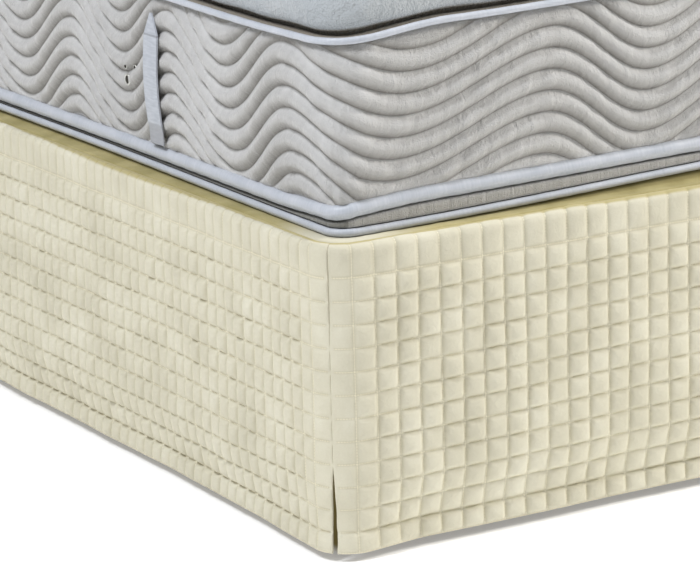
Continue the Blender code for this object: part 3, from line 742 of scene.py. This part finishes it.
# Below the border the folded band is in shade, and so is the groove under the pillow top.
GROOVE_FROM = 0.2122
below = add(tree, "Math LESS_THAN", (up_cloth, BORDER_FROM + PLAIN))
plain = add(tree, "Math LESS_THAN", (up_cloth, PLAIN / 2))
groove_shade = add(tree, "Math GREATER_THAN", (up_cloth, GROOVE_FROM + PLAIN))
groove_shade = add(tree, "Math MULTIPLY", (plain, groove_shade))
off_middle = add(tree, "Math ABSOLUTE", (add(tree, "SeparateXYZ", (place,)),))
long_side = add(tree, "Math GREATER_THAN", (off_middle, outline_half_x - 0.02))
below_side = add(tree, "Math MULTIPLY", (below, long_side))
colour = overlay(tree, colour, (below, 0.45, "7C7972"), (below_side, 0.55, "47473E"),
                 (groove_shade, 0.75, "6A5C40"))
relief = weighted(tree, (knit, 0.25), (gathers, 1.0))
finish(tree, shader, colour, relief, 0.9, 0.0034)

mattress = round_mattress("mattress_border", rows, border_knit)
shell = bmesh.new()
shell.from_mesh(mattress.data)
bmesh.ops.remove_doubles(shell, verts=shell.verts, dist=0.00002)
shell.to_mesh(mattress.data)
shell.free()
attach(mattress, "root")
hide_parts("mattress")

# ----------------------------------------------------------
# Pillow top. A pad of wadding and foam in pale blue-white knit ticking, sewn to the mattress's top
# all round and quilted in wide shallow waves. Its side is plain and bulges out over the groove.

# Height above the mattress's underside, inset, and share of the upper edge's rise.
PILLOW_ROWS = ((0.2078, 0.0200, 0.0), (0.2255, 0.0200, 1.0), (0.2262, 0.0150, 1.0),
               (0.2278, 0.0115, 1.0), (0.2308, 0.0085, 1.0), (0.2352, 0.0060, 1.0),
               (0.2410, 0.0050, 1.0), (0.2480, 0.0048, 1.0), (0.2550, 0.0060, 1.0),
               (0.2615, 0.0090, 0.92), (0.2670, 0.0135, 0.72), (0.2715, 0.0200, 0.48),
               (0.2750, 0.0290, 0.24), (0.2772, 0.0400, 0.10), (0.2785, 0.0520, 0.03))
PILLOW_TOP, PILLOW_WAVE, PILLOW_CHANNEL, PILLOW_PERIOD = 0.2790, 0.030, 0.075, 0.42
PILLOW_DEPTH = 0.0035
rows = []
for height, inset, lifted in PILLOW_ROWS:
    loop = mattress_loop(inset, height, high=lifted)
    loop[:, 2] += 0.0006 * ripple(around, 0.11) * (inset < 0.018)
    rows.append((loop, height))
rows += [(mattress_loop(inset, PILLOW_TOP), PILLOW_TOP + inset)
         for inset in np.arange(0.065, outline_half_x - 0.004, 0.0125)]
for loop, _ in rows[len(PILLOW_ROWS) - 4 :]:
    swing = PILLOW_WAVE * ripple(loop[:, 0], PILLOW_PERIOD)
    across = (loop[:, 1] + swing) / PILLOW_CHANNEL
    share = across - np.floor(across)
    from_edge = np.minimum(outline_half_x - np.abs(loop[:, 0]),
                           outline_half_y - np.abs(loop[:, 1] - mattress_y))
    loop[:, 2] -= PILLOW_DEPTH * (1 - puff(share, 0.5)) * ease((from_edge - 0.035) / 0.03)

# Knit ticking in polyester and cotton: pale and matt. Its stitches, really 1 mm, are drawn 2.6 mm
# apart. Painted shade darkens it in the groove, and its wadding leaves 18 mm crumples.
ticking, tree, shader = new_material("pale_knit_ticking", {"Roughness": 0.75, "Sheen Weight": 0.25})
place = add(tree, "TexCoord", output="Object")
cloud = add(tree, "TexNoise", {"Vector": place, "Scale": 7, "Detail": 4})
colour = add(tree, "ValToRGB", (cloud,), stops={0.3: "9AA1A7", 0.7: "ADB2B6"})
up_pad = add(tree, "SeparateXYZ", (add(tree, "UVMap", uv_map="cloth"),), "Y")
# Painted shade in the groove under the pad's bulging side.
pad_groove_shade = add(tree, "MapRange", (up_pad, 0.2268, 0.2300, 1.0, 0.0), **SMOOTH)
colour = overlay(tree, colour, (pad_groove_shade, 0.75, "6A5C40"))
knit = add(tree, "TexVoronoi", {"Vector": place, "Scale": 380})
crumple = add(tree, "TexNoise", {"Vector": place, "Scale": 55, "Detail": 4, "Distortion": 1.2})
relief = weighted(tree, (knit, 0.2), (crumple, 1.0))
finish(tree, shader, colour, relief, 0.9, 0.0070)

pillow = round_mattress("pillow_top", rows, ticking)
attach(pillow, "root")
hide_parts("mattress_pillow_top")

# ----------------------------------------------------------
# Cords and edge roll. Filler cord covered in pale satin-woven binding tape, drawn tight and sewn
# round the mattress: two thin cords, and a thicker roll above the lower one.

# Satin-woven polyester tape: a soft gloss, fine cross ribs 0.7 mm apart drawn 3 mm apart.
tape, tree, shader = new_material("satin_binding_tape", {"Roughness": 0.42, "Sheen Weight": 0.2})
cloth_map = add(tree, "UVMap", uv_map="cloth")
rib_place = add(tree, "Mapping", {"Vector": cloth_map, "Scale": (330.0, 30.0, 1.0)})
ribs = add(tree, "TexNoise", {"Vector": rib_place, "Scale": 1, "Detail": 2})
cloud = add(tree, "TexNoise", {"Vector": cloth_map, "Scale": 25, "Detail": 3})
tone = weighted(tree, (ribs, 0.4), (cloud, 0.6))
colour = add(tree, "ValToRGB", (tone,), stops={0.3: "A8AFBA", 0.7: "C4C8D1"})
finish(tree, shader, colour, ribs, 0.35, 0.0008)

RINGS = (  # name, CAD node, radius, height, and what it moves with
    ("lower_cord", "mattress_lower_cord", 0.0045, 0.0045, "low"),
    ("edge_roll", "mattress_edge_roll", 0.0090, 0.0255, "roll"),
    ("upper_cord", "mattress_upper_cord", 0.0040, 0.2172, "high"),
)
RING_SIDES = 14
# The tape is drawn tight, and makes a cord up to 4.5 % thinner in places about 35 mm apart.
tight = 1 - 0.045 * (0.5 + 0.5 * ripple(around, 0.0345, 2 * np.sin(around * 21)))
for name, node, radius, height, moves_with in RINGS:
    rows = []
    for i in range(RING_SIDES):
        turn = 2 * math.pi * i / RING_SIDES
        loop = mattress_loop(radius - radius * tight * math.cos(turn), height, **{moves_with: 1.0})
        loop[:, 2] += radius * tight * math.sin(turn)
        rows.append((loop, radius * turn))
    ring = round_mattress(name, rows, tape, cap_ends=False)
    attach(ring, "root")
    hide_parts(node)

# ----------------------------------------------------------
# Handles. Four straps of the same tape, laid double, sewn down through the border with a stitched
# box at the foot and drawn to a point at the top.

# The tape again, with a line of stitches across below the point, and the stitched box in shade.
strap_low, strap_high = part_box("mattress_handle_left_foot")
STRAP_BOX = 0.022  # height of the stitched box
STRAP_POINT = 0.026  # the length over which the top narrows
SEAM_HALF = 0.0012  # of the line of stitches
strap_tape, tree, shader = new_material("stitched_strap_tape", {"Roughness": 0.5,
                                                                "Sheen Weight": 0.2})
cloth_map = add(tree, "UVMap", uv_map="cloth")
up_strap = add(tree, "SeparateXYZ", (cloth_map,))
rib_place = add(tree, "Mapping", {"Vector": cloth_map, "Scale": (330.0, 60.0, 1.0)})
ribs = add(tree, "TexNoise", {"Vector": rib_place, "Scale": 1, "Detail": 2})
colour = add(tree, "ValToRGB", (ribs,), stops={0.3: "A2A8B2", 0.7: "B6BBC4"})
in_box = add(tree, "MapRange", (up_strap, STRAP_BOX, STRAP_BOX + 0.004, 1.0, 0.0))
off_seam = add(tree, "Math SUBTRACT", (up_strap, strap_high.z - strap_low.z - STRAP_POINT))
off_seam = add(tree, "Math ABSOLUTE", (off_seam,))
seam = add(tree, "Math LESS_THAN", (off_seam, SEAM_HALF))
colour = overlay(tree, colour, (in_box, 0.6, "85868B"), (seam, 0.5, "5E5F66"))
finish(tree, shader, colour, ribs, 0.4, 0.001)

STRAP_ROWS, STRAP_COLUMNS = 26, 11
STRAP_THICK, STRAP_LOOSE, STRAP_PRESSED = 0.0021, 0.0022, 0.0006
for side, side_name in ((-1, "left"), (1, "right")):
    for end_name in ("foot", "head"):
        node = f"mattress_handle_{side_name}_{end_name}"
        low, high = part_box(node)
        middle = (low.y + high.y) / 2
        half = (high.y - low.y) / 2
        places = np.linspace(0, 1, STRAP_ROWS)
        heights = low.z + (high.z - low.z) * places
        point = np.clip((heights - (high.z - STRAP_POINT)) / STRAP_POINT, 0, 1)
        narrow = 0.92 * (1 - 0.88 * point)
        inset = np.interp(heights - underside, SIDE_AT, SIDE_INSET)
        boxed = np.abs(heights - low.z - STRAP_BOX / 2) < STRAP_BOX / 2
        loose = STRAP_LOOSE * np.sin(math.pi * np.clip((places - 0.12) / 0.72, 0, 1))
        grid, flat = [], []
        columns = np.linspace(-1, 1, STRAP_COLUMNS)
        for layer in (1, -1):
            for column in columns:
                lift = 0.0004 + STRAP_THICK * (layer > 0) + loose - STRAP_PRESSED * boxed * (layer > 0)
                lift = lift + STRAP_PRESSED * (1 - abs(column)) * (layer > 0)
                x = side * (outline_half_x - inset + 0.0052 + lift)
                grid.append(np.stack([x, middle + half * column * narrow, heights], -1))
                flat.append(np.stack([heights - low.z, half * column * narrow + 0.05 * layer], -1))
        grid = np.array(grid)
        count = len(columns)
        index = np.arange(2 * count * STRAP_ROWS).reshape(2, count, STRAP_ROWS)
        faces = grid_faces(index[0])[:, TURNED_ROUND].tolist()
        faces += grid_faces(index[1])[:, (1, 2, 3, 0)].tolist()
        for edge in (0, -1):
            for i in range(STRAP_ROWS - 1):
                faces.append([index[0, edge, i], index[0, edge, i + 1], index[1, edge, i + 1],
                              index[1, edge, i]])
            for i in range(count - 1):
                faces.append([index[0, i, edge], index[0, i + 1, edge], index[1, i + 1, edge],
                              index[1, i, edge]])
        strap = cloth_mesh(f"strap_{side_name}_{end_name}", grid, faces,
                           {"cloth": np.concatenate(flat)}, strap_tape)
        shell = bmesh.new()
        shell.from_mesh(strap.data)
        bmesh.ops.recalc_face_normals(shell, faces=shell.faces)
        shell.to_mesh(strap.data)
        shell.free()
        strap.data.set_sharp_from_angle(angle=math.radians(50))
        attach(strap, "root")
        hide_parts(node)

# ----------------------------------------------------------
# Vent eyelets. Three small turned metal rings, pressed into the border near the left foot strap,
# with dark mesh in them: the photograph shows one larger, and two smaller above it.

# Nickel-plated steel, and the dark polyester mesh behind it.
nickel, tree, shader = new_material("nickel_plated_steel", {"Roughness": 0.32, "Metallic": 0.85})
place = add(tree, "TexCoord", output="Object")
haze = add(tree, "TexNoise", {"Vector": place, "Scale": 900, "Detail": 2})
colour = add(tree, "ValToRGB", (haze,), stops={0.3: "C2C2BE", 0.7: "DCDCD8"})
connect(tree, shader, {"Base Color": colour})
mesh_cloth, tree, shader = new_material("dark_vent_mesh", {"Roughness": 0.9})
place = add(tree, "TexCoord", output="Object")
holes = add(tree, "TexVoronoi", {"Vector": place, "Scale": 1400})
colour = add(tree, "ValToRGB", (holes,), stops={0.2: "17150F", 0.8: "3A372F"})
connect(tree, shader, {"Base Color": colour})

EYELETS = (("large", -0.5203, 0.4595, 0.0060), ("left", -0.5120, 0.4745, 0.0034),
           ("right", -0.5320, 0.4745, 0.0034))  # name, y, height and radius
facing = Vector((-1, 0, 0)).to_track_quat("Z", "Y").to_euler()
for name, y, height, radius in EYELETS:
    border_point = mattress.ray_cast(Vector((2 * cord_low.x, y, height)), Vector((1, 0, 0)))[1]
    for title, surface in (("ring", nickel), ("mesh", mesh_cloth)):
        bpy.ops.object.select_all(action="DESELECT")
        if title == "ring":
            bpy.ops.mesh.primitive_torus_add(
                major_radius=radius, minor_radius=0.22 * radius, major_segments=28,
                minor_segments=10, location=border_point, rotation=facing)
            bpy.ops.object.shade_smooth()
        else:
            bpy.ops.mesh.primitive_cylinder_add(vertices=28, radius=radius, depth=0.0012,
                                                location=border_point, rotation=facing)
        piece = bpy.context.object
        piece.name = f"eyelet_{title}_{name}"
        piece.data.materials.append(surface)
        bpy.ops.object.transform_apply()
        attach(piece, "root")

# ----------------------------------------------------------
# Studio. A pale floor and three soft boxes: one to the left of the bed, one before the foot's right
# end, which rakes across the quilting, and a large weak one above. The camera is the photograph's.
FLOOR_SIZE = 14.0
bpy.ops.object.select_all(action="DESELECT")
bpy.ops.mesh.primitive_plane_add(size=FLOOR_SIZE, location=(0, 0, cad_low.z - 0.0005))
floor = bpy.context.object
floor.name = "studio_floor"
# The paper glows a little round the bed; under it a painted shadow makes it darker and browner,
# as seen in the slit.
paper, tree, shader = new_material("matt_paper", {"Roughness": 0.9, "Emission Strength": 0.26})
across, along, _ = add(tree, "SeparateXYZ", (add(tree, "TexCoord", output="Object"),), None)
across = add(tree, "Math ABSOLUTE", (across,))
along = add(tree, "Math SUBTRACT", (along, base_middle_y))
along = add(tree, "Math ABSOLUTE", (along,))
off_side = add(tree, "Math SUBTRACT", (across, base_high.x - 0.018))
off_end = add(tree, "Math SUBTRACT", (along, base_size.y / 2 - 0.032))
outside = add(tree, "Math MAXIMUM", (off_side, off_end))
outside = add(tree, "MapRange", (outside, -0.02, 0.0, 0.0, 1.0), **SMOOTH)
# Painted shadow under the bed, in the paper's colour and in its weaker, browner glow.
colour = add(tree, "ValToRGB", (outside,), stops={0.0: "6E6759", 1.0: "F6F6F6"})
glow = add(tree, "ValToRGB", (outside,), stops={0.0: "968650", 1.0: "FFFFFF"})
connect(tree, shader, {"Base Color": colour, "Emission Color": glow})
floor.data.materials.append(paper)

world = bpy.data.worlds.new("studio")
world.use_nodes = True
sky = world.node_tree.nodes["Background"]
connect(world.node_tree, sky, {"Color": "FFFDF8", "Strength": 0.35})
bpy.context.scene.world = world

SOFT_BOXES = (  # where it stands, what it is aimed at, size, watts, colour
    ((-3.0, -1.2, 4.0), (-0.8, -0.5, 0.3), 1.2, 135, "F9FBFF"),
    ((3.2, -2.4, 2.6), (0.0, -1.04, 0.2), 1.0, 148, "FFFBF4"),
    ((-0.6, -1.5, 5.0), (-0.2, -0.6, 0.3), 2.6, 45, "FFFFFF"),
)
for i, (stand, aim, size, watts, colour) in enumerate(SOFT_BOXES):
    lamp = bpy.data.lights.new(f"soft_box_{i}", "AREA")
    lamp.size = size
    lamp.energy = watts
    lamp.color = linear(colour)
    box = bpy.data.objects.new(f"soft_box_{i}", lamp)
    box.location = stand
    box.rotation_euler = (Vector(aim) - Vector(stand)).to_track_quat("-Z", "Y").to_euler()
    bpy.context.scene.collection.objects.link(box)

CAMERA_PLACE = Vector((-2.585, -4.164, 1.2405))
CAMERA_AZIMUTH, CAMERA_ELEVATION = math.radians(-30.155), math.radians(14.415)
CAMERA_ROLL = math.radians(-1.65)
CAMERA_FOCUS = 3496.5  # in pixels of a picture 700 wide
PICTURE_WIDTH = 700
lens = bpy.data.cameras.new("camera")
lens.sensor_width = 36
lens.lens = lens.sensor_width * CAMERA_FOCUS / PICTURE_WIDTH
camera = bpy.data.objects.new("camera", lens)
turned = Matrix.Rotation(CAMERA_AZIMUTH, 4, "Z")
turned @= Matrix.Rotation(math.pi / 2 - CAMERA_ELEVATION, 4, "X")
turned @= Matrix.Rotation(CAMERA_ROLL, 4, "Z")
camera.matrix_world = Matrix.Translation(CAMERA_PLACE) @ turned
bpy.context.scene.collection.objects.link(camera)
bpy.context.scene.camera = camera
bpy.context.scene.view_settings.view_transform = "Standard"

bpy.context.view_layer.update()
